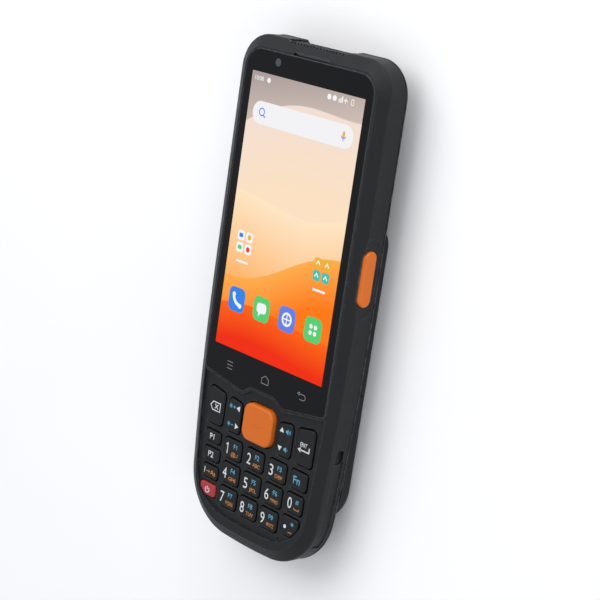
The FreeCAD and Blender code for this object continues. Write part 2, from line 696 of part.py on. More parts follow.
def rear_housing():
    shell = prism(body_wire(-RIM_OUT), BACK_Z, PARTING_Z)
    shell = shell.makeChamfer(BACK_BEVEL, flat_edges(shell, BACK_Z))
    cavity = prism(body_wire(WALL), BACK_Z + BACK_WALL, PARTING_Z + 1)
    bay_block = prism(battery_wire(-BATTERY_GAP - BAY_SIDE), BACK_Z + 1, BAY_ROOF_Z + BAY_CEILING)
    shell = shell.cut(cavity).fuse(bay_block)
    bosses = screw_holes(BACK_BOSS_R, BACK_Z + 1, PARTING_Z, SCREWS_IN_FRAME)
    bosses += screw_holes(BACK_BOSS_R - 1, BACK_Z + 1, PARTING_Z, SCREWS_IN_FRONT)
    inside = prism(body_wire(WALL - 0.5), BACK_Z, PARTING_Z)
    bosses = [boss.common(inside) for boss in bosses]
    shell = fused([shell, latch_keeper()] + bosses)

    cuts = [prism(battery_wire(-BATTERY_GAP), BACK_Z - 1, BAY_ROOF_Z)]
    places = SCREWS_IN_FRAME + SCREWS_IN_FRONT
    cuts += screw_holes(SCREW_R + 0.1, BACK_Z, PARTING_Z + 1, places)
    cuts += screw_holes(SCREW_HEAD_R + 0.15, BACK_Z - 1, SCREW_SEAT_Z, SCREWS_IN_FRAME)
    cuts += screw_holes(SCREW_HEAD_R + 0.05, BACK_Z - 1, SCREW_SEAT_Z, SCREWS_IN_FRONT)
    cuts += [scan_bay_cut(), gasket_ring(PARTING_Z + 1)]
    cuts += speaker_slots()
    cuts += [post(*REAR_CAMERA, LENS_RING_R + 0.1, BACK_Z - 1, 6.3)]
    cuts += [post(*REAR_CAMERA, REAR_LENS_R + 0.2, BACK_Z, PARTING_Z)]
    cuts += [post(*FLASH, FLASH_R + 0.1, BACK_Z - 1, PARTING_Z)]
    cuts += dock_pads()
    cuts += contact_blades(0.1)
    cuts.append(latch_notch())
    for cut in cuts:
        shell = shell.cut(cut)
    return shell.removeSplitter()


def gasket_ring(top_z):
    low_z = PARTING_Z - GASKET_THICK
    return prism(body_wire(GASKET_IN), low_z, top_z).cut(prism(body_wire(GASKET_OUT), low_z - 1, top_z + 1))


def housing_gasket():
    return gasket_ring(PARTING_Z).cut(scan_bay_cut())


# Glass and display stack
def cover_glass():
    plate = prism(glass_wire(), GLASS_Z - GLASS_THICK, GLASS_Z)
    return plate.makeChamfer(0.22, flat_edges(plate, GLASS_Z))


def glass_adhesive():
    low = GLASS_Z - GLASS_THICK - ADHESIVE_THICK
    outer = prism(grown(glass_wire(), -0.35), low, low + ADHESIVE_THICK)
    inner = slab(-DISPLAY_HALF - 0.5, DISPLAY_HALF + 0.5, SCREEN_Y + DISPLAY_LOW - 0.5,
                 SCREEN_Y + DISPLAY_HIGH + 0.5, low - 1, low + 1)
    ring = outer.cut(inner).cut(post(*FRONT_CAMERA, 2.8, low - 1, low + 1))
    return ring.cut(rounded_box(-8.2, 7.8, 76.0, 77.85, 0.4, low - 1, low + 1))


def lcd_module():
    top = GLASS_Z - GLASS_THICK - 0.1
    panel = slab(-DISPLAY_HALF, DISPLAY_HALF, SCREEN_Y + DISPLAY_LOW, SCREEN_Y + DISPLAY_HIGH,
                 DISPLAY_Z, top)
    border = slab(-ACTIVE_WIDTH / 2, ACTIVE_WIDTH / 2, SCREEN_Y - ACTIVE_HEIGHT / 2,
                  SCREEN_Y + ACTIVE_HEIGHT / 2, top - 0.05, top + 1)
    return panel.cut(border)


def inner_frame():
    """Metal plate behind the display, with the threaded posts for the housing screws."""
    plate = rounded_box(-26.2, 26.2, -24.2, 75.4, 2.0, 12.3, 13.3)
    cuts = [slab(-17.6, 11.2, 64.6, 80, 12, 14)]
    for row in range(3):
        for column in (-1, 1):
            x, y = column * 13, 2 + row * 20
            cuts.append(rounded_box(x - 7, x + 7, y - 6, y + 6, 2, 12, 14))
    for cut in cuts:
        plate = plate.cut(cut)
    posts = [post(x, y, FRONT_BOSS_R, PARTING_Z, 12.4) for x, y in SCREWS_IN_FRAME]
    frame = fused([plate] + posts)
    for hole in screw_holes(SCREW_R + 0.05, PARTING_Z - 1, 14, SCREWS_IN_FRAME):
        frame = frame.cut(hole)
    return frame


def earpiece():
    return rounded_box(-6.8, 6.4, 75.9, 78.9, 0.6, 12.5, 14.7)


def earpiece_mesh():
    return rounded_box(-7.9, 7.5, 77.2, 77.8, 0.25, 16.0, 16.25)


def front_camera():
    barrel = post(*FRONT_CAMERA, 2.35, 12.6, 15.6)
    tip = post(*FRONT_CAMERA, 1.15, 15.5, GLASS_Z - GLASS_THICK - 0.05)
    return barrel.fuse(tip)


# Keypad stack
def keypad_plan(inset):
    """Outline of the sheets under the keypad."""
    area = prism(body_wire(inset), 0, 1).common(slab(-40, 40, -70.2, -31.2, 0, 1))
    return [f for f in area.Faces if abs(f.BoundBox.ZMax) < 0.001][0].OuterWire


def key_places(keys, rockers):
    """Middle of every plain key and both ends of every rocker."""
    places = [centre_of(corners) for corners in keys.values()]
    for corners in rockers.values():
        x, y = centre_of(corners)
        places += [(x, y - ROCKER_END), (x, y + ROCKER_END)]
    return places


def keypad_mat(places):
    sheet = prism(keypad_plan(WALL + 0.4), MAT_Z, MAT_Z + MAT_THICK)
    bumps = [post(x, y, MAT_BUMP_R, MAT_Z + MAT_THICK - 0.05, MAT_BUMP_Z) for x, y in places]
    return fused([sheet] + bumps)


def key_domes(places):
    low = KEYBOARD_Z + KEYBOARD_THICK
    domes = []
    for x, y in places:
        base = post(x, y, DOME_R, low, low + DOME_THICK)
        domes.append(base.makeFillet(0.15, flat_edges(base, low + DOME_THICK)))
    return group(domes)


def keypad_board():
    return prism(keypad_plan(WALL + 0.6), KEYBOARD_Z, KEYBOARD_Z + KEYBOARD_THICK)


def keypad_flex():
    """Ribbon from the keypad board down to the main board."""
    upper = slab(-14, -4, -36, -29.4, 11.7, 11.9)
    drop = slab(-14, -4, -29.6, -29.4, 10.9, 11.9)
    lower = slab(-14, -4, -29.6, -23, 10.7, 10.9)
    return fused([upper, drop, lower])


def display_flex():
    """Ribbon that folds from the lower edge of the display to the main board."""
    upper = slab(4, 16, -25.4, -23.8, 13.5, 13.7)
    drop = slab(4, 16, -25.6, -25.4, 10.7, 13.7)
    lower = slab(4, 16, -25.6, -19.5, 10.7, 10.9)
    return fused([upper, drop, lower])


# Electronics
def main_board():
    board = rounded_box(-25.6, 25.6, -27, 50, 1.5, 9.8, 10.6)
    for x, y in SCREWS_IN_FRAME[2:]:
        board = board.cut(post(x, y, BACK_BOSS_R + 0.4, 9, 11))
    chips = [slab(-12, 0, -15, -5, 10.55, 11.5), slab(6, 18, 30, 44, 10.55, 11.4),
             slab(12, 22, -12, -4, 10.55, 11.3)]
    return fused([board] + chips)


def shield_cans():
    cans = []
    for x0, x1, y0, y1 in [(-22, 2, 0, 24), (5, 22, 2, 26), (-19, 3, 27, 46)]:
        can = slab(x0, x1, y0, y1, 10.6, 12.1)
        can = can.makeFillet(0.4, flat_edges(can, 12.1))
        cans.append(can.cut(slab(x0 + 0.3, x1 - 0.3, y0 + 0.3, y1 - 0.3, 10.5, 11.8)))
    return group(cans)


def side_switch():
    body = slab(26.7, 28.4, SIDE_KEY_Y - 3, SIDE_KEY_Y + 3, SIDE_KEY_Z - 1.2, SIDE_KEY_Z + 1.3)
    button = slab(28.3, 28.65, SIDE_KEY_Y - 1.5, SIDE_KEY_Y + 1.5, SIDE_KEY_Z - 0.7, SIDE_KEY_Z + 0.7)
    return body.fuse(button)


def side_key():
    """Side scan key: a round-ended head in its pocket and a stem that reaches the switch."""
    head = side_capsule(SIDE_KEY_LENGTH / 2, SIDE_KEY_HEIGHT / 2, SIDE_KEY_IN, SIDE_KEY_OUT)
    outer = [e for e in head.Edges if e.BoundBox.XMin > SIDE_KEY_OUT - 0.001]
    head = head.makeFillet(SIDE_KEY_EDGE_R, outer)
    stem = slab(STEM_END_X, SIDE_KEY_IN + 0.5, SIDE_KEY_Y - STEM_LENGTH / 2,
                SIDE_KEY_Y + STEM_LENGTH / 2, SIDE_KEY_Z - STEM_HEIGHT / 2,
                SIDE_KEY_Z + STEM_HEIGHT / 2)
    return head.fuse(stem).removeSplitter()


def rear_camera():
    x, y = REAR_CAMERA
    block = rounded_box(x - 4.5, x + 4.5, y - 4.5, y + 4.5, 1, BACK_Z + BACK_WALL + 0.05, 12.1)
    barrel = post(x, y, REAR_LENS_R, 6.5, 7.5)
    return block.fuse(barrel)


def camera_window():
    """Round window over the rear camera, sunk inside its rim."""
    disc = post(*REAR_CAMERA, LENS_RING_R, BACK_Z + 0.05, 6.3)
    return disc.cut(post(*REAR_CAMERA, REAR_LENS_R, BACK_Z - 1, BACK_Z + 0.25))


def flash_window():
    return post(*FLASH, FLASH_R, BACK_Z + 0.1, 7.2)


def rear_speaker():
    return rounded_box(10.4, 24.5, 57.0, 68.6, 1.2, BACK_Z + BACK_WALL + 0.1, 11.2)


def vibration_motor():
    return post(*MOTOR, MOTOR_R, BACK_Z + BACK_WALL + 0.05, 10.0)


def microphone():
    x, y = MICROPHONE
    box = slab(x - 1.3, x + 1.3, y - 1.3, y + 1.3, 12.6, 13.6)
    return box.cut(post(x, y, 0.4, 13.2, 14))


def nfc_antenna():
    outer = rounded_box(-22, 22, -20, 14, 3, 9.52, 9.72)
    return outer.cut(rounded_box(-19.5, 19.5, -17.5, 11.5, 2, 9, 10))


def sim_socket():
    """Card socket in the ceiling of the battery bay."""
    return slab(-8, 8, -48, -34, 9.55, 10.9)


def contact_blades(gap):
    y0, y1 = CONTACT_Y
    return [slab(x - 0.6 - gap, x + 0.6 + gap, y0 - gap, y1 + gap, 8.42, 9.8) for x in CONTACT_X]


def dock_pads():
    return [slab(x - 1.0, x + 1.0, *DOCK_Y, BACK_Z, BACK_Z + BACK_WALL) for x in CONTACT_X]


# Battery and its latch
def cover_wire():
    """Outline of the battery's outer cover, straight-sided with round corners."""
    return rounded_wire([(-COVER_HALF, COVER_LOW_Y, COVER_LOW_R), (COVER_HALF, COVER_LOW_Y, COVER_LOW_R),
                         (COVER_HALF, COVER_TOP_Y, COVER_TOP_R), (-COVER_HALF, COVER_TOP_Y, COVER_TOP_R)])


def battery_pack():
    """Block that fills the bay, on an outer cover with the pocket and the way for the latch."""
    cover = prism(cover_wire(), 0, COVER_Z)
    cover = cover.makeFillet(COVER_EDGE_R, flat_edges(cover, 0))
    body = cover.fuse(prism(battery_wire(0), COVER_Z - 0.5, BATTERY_HIGH_Z))
    side = LATCH_HALF + LATCH_GAP
    pocket = slab(-side, side, LATCH_LOW_Y - LATCH_TRAVEL - LATCH_GAP, LATCH_END_Y + LATCH_GAP,
                  -1, LATCH_PLATE[1] + LATCH_GAP)
    half = TONGUE_HALF + LATCH_GAP
    low_y = LATCH_END_Y - RISE_HALF - LATCH_TRAVEL - LATCH_GAP
    rise_way = slab(-half, half, low_y, LATCH_END_Y + RISE_HALF + LATCH_GAP, LATCH_PLATE[0],
                    TONGUE_Z[1] + LATCH_GAP)
    tongue_way = slab(-half, half, low_y, COVER_TOP_Y + 1, COVER_Z, TONGUE_Z[1] + LATCH_GAP)
    for cut in (pocket, rise_way, tongue_way, contact_window()):
        body = body.cut(cut)
    return body.removeSplitter()


def contact_window():
    """Shallow pocket in the battery's top face under the contact blades."""
    return slab(-8.2, 8.2, 19.8, 24.2, BATTERY_HIGH_Z - 0.3, BATTERY_HIGH_Z + 1)


def latch_keeper():
    """Thick place in the end wall of the bay, where the latch's tongue goes in."""
    return slab(-6, 6, BATTERY_TOP_Y + 0.8, BATTERY_TOP_Y + 3, BACK_Z + 1, BAY_ROOF_Z + BAY_CEILING)


def latch_notch():
    """Open-bottomed notch in the rear housing that the latch's tongue reaches into."""
    half = TONGUE_HALF + 0.6
    return slab(-half, half, BATTERY_TOP_Y - 1, BATTERY_TOP_Y + 1.25, BACK_Z - 1, TONGUE_Z[1] + 0.8)


def battery_latch():
    """Finger plate with grip grooves, and the tongue that rises from its end."""
    plate = rounded_box(-LATCH_HALF, LATCH_HALF, LATCH_LOW_Y, LATCH_END_Y, 1.0, *LATCH_PLATE)
    groove_half = LATCH_HALF - 1.4
    for i in range(4):
        y = LATCH_LOW_Y + 1.6 + i * 1.5
        plate = plate.cut(slab(-groove_half, groove_half, y, y + 0.6, 0, LATCH_PLATE[0] + 0.4))
    rise = slab(-TONGUE_HALF, TONGUE_HALF, LATCH_END_Y - RISE_HALF, LATCH_END_Y + RISE_HALF,
                LATCH_PLATE[1] - 1, TONGUE_Z[1])
    tongue = slab(-TONGUE_HALF, TONGUE_HALF, LATCH_END_Y, BATTERY_TOP_Y + 0.9, *TONGUE_Z)
    return fused([plate, rise, tongue])


def housing_screws():
    """Six equal cross-head screws, put in from the back."""
    screws = []
    head_low = SCREW_SEAT_Z - SCREW_HEAD
    for x, y in SCREWS_IN_FRAME + SCREWS_IN_FRONT:
        head = post(x, y, SCREW_HEAD_R - 0.05, head_low, SCREW_SEAT_Z)
        head = head.makeFillet(0.3, flat_edges(head, head_low))
        cross = slab(x - 1.1, x + 1.1, y - 0.22, y + 0.22, head_low - 1, head_low + 0.6)
        bar = slab(x - 0.22, x + 0.22, y - 1.1, y + 1.1, head_low - 1, head_low + 0.6)
        shank = post(x, y, SCREW_R, SCREW_SEAT_Z - 0.1, SCREW_END_Z)
        screws.append(head.fuse(shank).cut(cross).cut(bar))
    return group(screws)


def middle_scan_key():
    """Raised middle key with a short raised mark for the thumb."""
    x, y, width, height, corner_r = SCAN_KEY
    cap = key_cap(key_outline(x, y, width, height, corner_r), SCAN_KEY_TOP_Z, SCAN_KEY_EDGE_R)
    mark = rounded_box(x - 2.0, x + 2.0, y - 0.22, y + 0.22, 0.2, SCAN_KEY_TOP_Z - 0.3,
                       SCAN_KEY_TOP_Z + 0.1)
    return cap.fuse(mark)


def main():
    os.makedirs("parts", exist_ok=True)
    keys = plain_keys()
    keys_with_scan = dict(keys)
    x, y, width, height, corner_r = SCAN_KEY
    keys_with_scan["key_scan"] = key_outline(x, y, width, height, corner_r)
    rockers = rocker_keys()
    places = key_places(keys_with_scan, rockers)

    save("front_housing", front_housing(keys_with_scan, rockers))
    save("rear_housing", rear_housing())
    save("housing_gasket", housing_gasket())
    save("cover_glass", cover_glass())
    save("glass_adhesive", glass_adhesive())
    save("lcd_module", lcd_module())
    save("inner_frame", inner_frame())
    save("earpiece", earpiece())
    save("earpiece_mesh", earpiece_mesh())
    save("front_camera", front_camera())

    for name, corners in keys.items():
        save(name, key_cap(corners, KEY_TOP_Z, KEY_EDGE_R))
    save("key_scan", middle_scan_key())
    for name, corners in rockers.items():
        save(name, rocker_cap(corners))
    save("keypad_mat", keypad_mat(places))
    save("key_domes", key_domes(places))
    save("keypad_board", keypad_board())
    save("keypad_flex", keypad_flex())
    save("display_flex", display_flex())

    save("main_board", main_board())
    save("shield_cans", shield_cans())
    save("side_switch", side_switch())
    save("side_key", side_key())
    save("battery_contacts", group(contact_blades(0)))
    save("battery_pack", battery_pack())
    save("battery_latch", battery_latch())
    save("sim_socket", sim_socket())
    save("nfc_antenna", nfc_antenna())
    save("scan_bezel", scan_bezel())
    save("scan_window", scan_window())
    save("scan_engine", scan_engine())
    save("rear_camera", rear_camera())
    save("camera_window", camera_window())
    save("flash_window", flash_window())
    save("rear_speaker", rear_speaker())
    save("vibration_motor", vibration_motor())
    save("microphone", microphone())
    save("usb_port", usb_port())
    save("port_flap", port_flap())
    save("flap_pin", flap_pin())
    save("dock_contacts", group(dock_pads()))
    save("housing_screws", housing_screws())


main()
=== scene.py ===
"""Looks of the hand-held data terminal: materials, key legends, screen picture, lights and camera.

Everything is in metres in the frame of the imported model. Values given to mm(), outlines and
legends are in millimetres of that frame.
"""
import math

import bmesh
import bpy
from mathutils import Matrix, Vector


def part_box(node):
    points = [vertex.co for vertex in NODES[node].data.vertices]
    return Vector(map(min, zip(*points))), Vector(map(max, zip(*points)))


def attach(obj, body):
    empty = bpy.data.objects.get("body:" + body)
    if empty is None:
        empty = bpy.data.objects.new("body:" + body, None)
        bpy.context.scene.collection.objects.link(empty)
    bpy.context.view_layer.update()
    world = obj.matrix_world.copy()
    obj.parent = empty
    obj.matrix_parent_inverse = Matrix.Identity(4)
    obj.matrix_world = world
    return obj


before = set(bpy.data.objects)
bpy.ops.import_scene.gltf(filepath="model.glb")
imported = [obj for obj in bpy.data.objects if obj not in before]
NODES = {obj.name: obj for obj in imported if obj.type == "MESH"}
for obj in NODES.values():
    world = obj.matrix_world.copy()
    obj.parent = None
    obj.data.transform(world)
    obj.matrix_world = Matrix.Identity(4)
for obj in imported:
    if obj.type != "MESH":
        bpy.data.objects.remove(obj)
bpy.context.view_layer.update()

# Camera, fitted to the photograph with the screen, the glass outline and the key rows
FOCAL_PX = 1738.9
IMAGE_PX = 600
SENSOR_MM = 36.0
CAMERA_AT_MM = (375.33, 127.91, 386.41)
CAMERA_RIGHT = (0.6795, 0.1434, -0.7196)
CAMERA_DOWN = (0.2655, -0.9623, 0.0590)

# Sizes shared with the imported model, in millimetres, but FLOOR_Z and ROW_PITCH in metres
SCREEN_Y = 25.3
ACTIVE_W = 49.8
ACTIVE_H = 88.5
GLASS_Z = 17.2
KEY_Z = 16.7
PICTURE_LIFT = 0.012
INK_LIFT = 0.012
INK_DEPTH = 0.03
FLOOR_Z = -0.0001
MARK_LINE = 0.22
ROW_PITCH = 0.00018
SIGN_LIFT = 0.01
CAP_SHARE = 0.69  # height of a capital in the built-in font, for size 1
TARGET = (0, 0, 0)

# Colours of print and light, linear RGB
WHITE_INK = (0.72, 0.74, 0.75)
BLUE_INK = (0.10, 0.40, 0.60)
ORANGE_INK = (0.60, 0.22, 0.035)
GREY_INK = (0.22, 0.22, 0.23)


def mm(*values):
    """Millimetres to metres."""
    return tuple(v * 0.001 for v in values) if len(values) > 1 else values[0] * 0.001


# Small helpers for node trees
class Tree:
    """A material's node tree with short calls for the nodes used here."""

    def __init__(self, name):
        self.material = bpy.data.materials.new(name)
        self.material.use_nodes = True
        self.nodes = self.material.node_tree.nodes
        self.links = self.material.node_tree.links
        self.shader = self.nodes["Principled BSDF"]
        self.place = self.nodes.new("ShaderNodeTexCoord").outputs["Object"]

    def link(self, source, target):
        self.links.new(source, target)

    def feed(self, socket, value):
        """Puts a number, a colour or another node's output into a socket."""
        if isinstance(value, bpy.types.NodeSocket):
            self.links.new(value, socket)
        else:
            socket.default_value = value

    def math(self, kind, a, b=0.0, clamp=False):
        n = self.nodes.new("ShaderNodeMath")
        n.operation = kind
        n.use_clamp = clamp
        self.feed(n.inputs[0], a)
        self.feed(n.inputs[1], b)
        return n.outputs[0]

    def noise(self, scale, detail=2.0, rough=0.5, where=None):
        n = self.nodes.new("ShaderNodeTexNoise")
        self.link(where or self.place, n.inputs["Vector"])
        n.inputs["Scale"].default_value = scale
        n.inputs["Detail"].default_value = detail
        n.inputs["Roughness"].default_value = rough
        return n.outputs["Fac"]

    def spread(self, value, low, high, out_low, out_high):
        n = self.nodes.new("ShaderNodeMapRange")
        n.clamp = True
        self.feed(n.inputs["Value"], value)
        self.feed(n.inputs["From Min"], low)
        self.feed(n.inputs["From Max"], high)
        self.feed(n.inputs["To Min"], out_low)
        self.feed(n.inputs["To Max"], out_high)
        return n.outputs["Result"]

    def mix(self, share, a, b, kind="MIX"):
        n = self.nodes.new("ShaderNodeMix")
        n.data_type = "RGBA"
        n.blend_type = kind
        self.feed(n.inputs[0], share)
        self.feed(n.inputs[6], a if isinstance(a, bpy.types.NodeSocket) else (*a, 1.0))
        self.feed(n.inputs[7], b if isinstance(b, bpy.types.NodeSocket) else (*b, 1.0))
        return n.outputs[2]

    def bump(self, height, strength, distance, normal=None):
        n = self.nodes.new("ShaderNodeBump")
        n.inputs["Strength"].default_value = strength
        n.inputs["Distance"].default_value = distance
        self.link(height, n.inputs["Height"])
        if normal is not None:
            self.link(normal, n.inputs["Normal"])
        return n.outputs["Normal"]

    def edges(self, radius):
        """Near 1 where the surface turns a corner within radius, 0 on flat ground."""
        bevel = self.nodes.new("ShaderNodeBevel")
        bevel.samples = 4
        bevel.inputs["Radius"].default_value = radius
        flat = self.nodes.new("ShaderNodeNewGeometry").outputs["Normal"]
        dot = self.nodes.new("ShaderNodeVectorMath")
        dot.operation = "DOT_PRODUCT"
        self.link(bevel.outputs["Normal"], dot.inputs[0])
        self.link(flat, dot.inputs[1])
        turned = self.math("SUBTRACT", 1.0, dot.outputs["Value"], clamp=True)
        return self.spread(turned, 0.01, 0.16, 0.0, 1.0)

    def split(self, vector):
        n = self.nodes.new("ShaderNodeSeparateXYZ")
        self.link(vector, n.inputs[0])
        return n.outputs

    def set(self, **values):
        """Constants on the shader's own sockets."""
        for name, value in values.items():
            self.shader.inputs[name.replace("_", " ")].default_value = value


def moulded(name, colour, rough, grain_mm=0.28, relief=0.35, edge_wear_and_highlight=(0.0, (0, 0, 0)), level=0.25):
    """Moulded plastic: fine spark-eroded grain, slow drift in gloss, and edges lightened in rubbed
    patches, partly wear and partly painted edge highlight.
    """
    t = Tree(name)
    grain = t.noise(1000.0 / grain_mm, 3.0, 0.55)
    fine = t.noise(1000.0 / (grain_mm * 0.45), 2.0, 0.6)
    drift = t.noise(38.0, 3.0, 0.5)
    rubbed = t.noise(420.0, 4.0, 0.65)
    shade = t.spread(drift, 0.3, 0.7, 0.88, 1.12)
    dark = tuple(c * 0.80 for c in colour)
    light = tuple(min(1.0, c * 1.16) for c in colour)
    base = t.mix(t.spread(grain, 0.35, 0.65, 0.0, 1.0), dark, light)
    # Edge wear and painted edge highlight: within 0.5 mm of a corner the colour is lightened towards
    # tint, in rubbed patches.
    amount, tint = edge_wear_and_highlight
    if amount > 0.0:
        wear_and_highlight_mask = t.math("MULTIPLY", t.edges(0.0005), t.spread(rubbed, 0.42, 0.66, 0.15, 1.0))
        wear_and_highlight_mask = t.math("MULTIPLY", wear_and_highlight_mask, amount)
        base = t.mix(wear_and_highlight_mask, base, tint)
    t.feed(t.shader.inputs["Base Color"], base)
    smooth = t.math("MULTIPLY", t.spread(rubbed, 0.35, 0.7, -0.05, 0.05), shade)
    t.feed(t.shader.inputs["Roughness"], t.math("ADD", rough, smooth, clamp=True))
    height = t.math("ADD", grain, t.math("MULTIPLY", fine, 0.5))
    t.feed(t.shader.inputs["Normal"], t.bump(height, relief, 0.00003))
    t.set(Specular_IOR_Level=level)
    return t.material


def polished(name, colour, rough=0.05, coat=0.0, smudge=0.04, level=0.5, edge=None):
    """Hard glossy face with faint wipe marks in its gloss, and a painted highlight along its edges if an
    edge colour is given.
    """
    t = Tree(name)
    smear = t.noise(70.0, 5.0, 0.7)
    dust = t.noise(2600.0, 2.0, 0.5)
    base = t.mix(t.spread(dust, 0.68, 0.8, 0.0, 0.35), colour, tuple(c * 2.2 + 0.004 for c in colour))
    # Painted highlight: within 0.4 mm of an edge the colour is lightened towards the edge colour.
    if edge is not None:
        base = t.mix(t.edges(0.0004), base, edge)
    t.feed(t.shader.inputs["Base Color"], base)
    t.feed(t.shader.inputs["Roughness"], t.spread(smear, 0.35, 0.75, rough, rough + smudge))
    t.feed(t.shader.inputs["Normal"], t.bump(smear, 0.04, 0.0001))
    t.set(Coat_Weight=coat, Coat_Roughness=0.03, Specular_IOR_Level=level)
    return t.material


def metal(name, colour, rough=0.32, brushed_mm=0.12):
    """Plated or cast metal with a fine directional grain."""
    t = Tree(name)
    stretch = t.nodes.new("ShaderNodeMapping")
    stretch.inputs["Scale"].default_value = (1.0, 0.08, 1.0)
    t.link(t.place, stretch.inputs["Vector"])
    lines = t.noise(1000.0 / brushed_mm, 3.0, 0.6, stretch.outputs["Vector"])
    stain = t.noise(120.0, 3.0, 0.5)
    base = t.mix(t.spread(stain, 0.3, 0.7, 0.0, 1.0), tuple(c * 0.85 for c in colour), colour)
    t.feed(t.shader.inputs["Base Color"], base)
    t.feed(t.shader.inputs["Roughness"], t.spread(lines, 0.3, 0.7, rough - 0.08, rough + 0.1))
    t.feed(t.shader.inputs["Normal"], t.bump(lines, 0.2, 0.00002))
    t.set(Metallic=1.0)
    return t.material


def ink(name, colour):
    """Screen-printed legend: nearly flat colour with a little bleed and grain."""
    t = Tree(name)
    grain = t.noise(5200.0, 2.0, 0.5)
    fade = t.noise(300.0, 3.0, 0.6)
    base = t.mix(t.spread(grain, 0.35, 0.65, 0.0, 1.0), tuple(c * 0.82 for c in colour), colour)
    base = t.mix(t.spread(fade, 0.5, 0.8, 0.0, 0.22), base, tuple(c * 0.6 for c in colour))
    t.feed(t.shader.inputs["Base Color"], base)
    t.feed(t.shader.inputs["Roughness"], t.spread(grain, 0.3, 0.7, 0.42, 0.58))
    t.feed(t.shader.inputs["Normal"], t.bump(grain, 0.1, 0.00001))
    return t.material


def lit(name, colour):
    """A lit flat area of the screen, with the screen's fine dot rows in it."""
    t = Tree(name)
    y = t.split(t.place)[1]
    rows = t.math("SINE", t.math("MULTIPLY", y, 2 * math.pi / ROW_PITCH))
    lines = t.spread(rows, -1.0, 1.0, 0.97, 1.0)
    glow = t.mix(lines, (0.0, 0.0, 0.0), colour)
    t.feed(t.shader.inputs["Emission Color"], glow)
    t.set(Base_Color=(0.0, 0.0, 0.0, 1.0), Emission_Strength=1.0, Roughness=0.08,
          Specular_IOR_Level=0.1)
    t.feed(t.shader.inputs["Normal"], t.bump(t.noise(70.0, 5.0, 0.7), 0.03, 0.0001))
    return t.material


def wallpaper(name):
    """Screen picture: pale sky over four soft rolling bands, cream to vermilion."""
    t = Tree(name)
    x, y, _ = t.split(t.place)
    u = t.math("ADD", t.math("DIVIDE", x, mm(ACTIVE_W)), 0.5)
    v = t.math("ADD", t.math("DIVIDE", t.math("SUBTRACT", y, mm(SCREEN_Y)), mm(ACTIVE_H)), 0.5)
    sky_low, sky_high = (0.94, 0.78, 0.68), (0.42, 0.35, 0.33)
    share = t.spread(t.math("ADD", v, t.math("MULTIPLY", u, -0.10)), 0.55, 0.98, 0.0, 1.0)
    picture = t.mix(share, sky_low, sky_high)
    # Each band: level, swing, waves across, phase, tilt, rim colour, deep colour, depth of fade
    bands = [
        (0.80, 0.055, 3.6, 0.4, 0.16, (0.90, 0.74, 0.66), (0.98, 0.76, 0.54), 0.30),
        (0.52, 0.070, 3.1, 2.2, 0.13, (1.00, 0.80, 0.56), (1.00, 0.44, 0.10), 0.34),
        (0.30, 0.050, 4.2, 4.0, 0.10, (1.00, 0.42, 0.07), (1.00, 0.19, 0.003), 0.18),
        (0.13, 0.035, 3.4, 0.9, 0.05, (1.00, 0.13, 0.002), (0.88, 0.025, 0.001), 0.13),
    ]
    for level, swing, waves, phase, tilt, rim, deep, fade in bands:
        wave = t.math("SINE", t.math("ADD", t.math("MULTIPLY", u, waves), phase))
        edge = t.math("ADD", t.math("MULTIPLY", wave, swing), level)
        edge = t.math("ADD", edge, t.math("MULTIPLY", u, tilt))
        below = t.math("SUBTRACT", edge, v)
        colour = t.mix(t.spread(below, 0.0, fade, 0.0, 1.0), rim, deep)
        picture = t.mix(t.spread(below, 0.0, 0.004, 0.0, 1.0), picture, colour)
    rows = t.math("SINE", t.math("MULTIPLY", y, 2 * math.pi / ROW_PITCH))
    picture = t.mix(t.spread(rows, -1.0, 1.0, 0.03, 0.0), picture, (0.0, 0.0, 0.0))
    t.feed(t.shader.inputs["Emission Color"], picture)
    t.set(Base_Color=(0.0, 0.0, 0.0, 1.0), Emission_Strength=1.0, Roughness=0.08,
          Specular_IOR_Level=0.1)
    t.feed(t.shader.inputs["Normal"], t.bump(t.noise(70.0, 5.0, 0.7), 0.03, 0.0001))
    return t.material


# Flat shapes: every shape is a list of closed outlines in millimetres
def arc_points(cx, cy, r, start, finish, count=16):
    angles = [math.radians(start + (finish - start) * i / count) for i in range(count + 1)]
    return [(cx + r * math.cos(a), cy + r * math.sin(a)) for a in angles]


def rounded(cx, cy, w, h, r, steps=6):
    """Outline of a rounded rectangle."""
    x, y = w / 2 - r, h / 2 - r
    points = []
    for sx, sy, a in ((1, 1, 0), (-1, 1, 90), (-1, -1, 180), (1, -1, 270)):
        points += arc_points(cx + sx * x, cy + sy * y, r, a, a + 90, steps)
    return points


def disc(cx, cy, r, count=28):
    return arc_points(cx, cy, r, 0, 360, count)[:-1]


def stroke(points, width, closed=False):
    """Outlines of a line of even width through points: one outline, or two when closed."""
    count = len(points)
    sides = ([], [])
    for i, (x, y) in enumerate(points):
        before = points[i - 1] if (closed or i > 0) else points[i]
        after = points[(i + 1) % count] if (closed or i < count - 1) else points[i]
        back = Vector((x - before[0], y - before[1]))
        ahead = Vector((after[0] - x, after[1] - y))
        back = back.normalized() if back.length > 1e-9 else ahead.normalized()
        ahead = ahead.normalized() if ahead.length > 1e-9 else back
        way = (back + ahead)
        way = way.normalized() if way.length > 1e-6 else back
        normal = Vector((-way.y, way.x))
        lean = max(0.45, normal.dot(Vector((-back.y, back.x))))
        off = normal * (width / 2 / lean)
        sides[0].append((x + off.x, y + off.y))
        sides[1].append((x - off.x, y - off.y))
    if closed:
        return [sides[0], sides[1]]
    return [sides[0] + sides[1][::-1]]


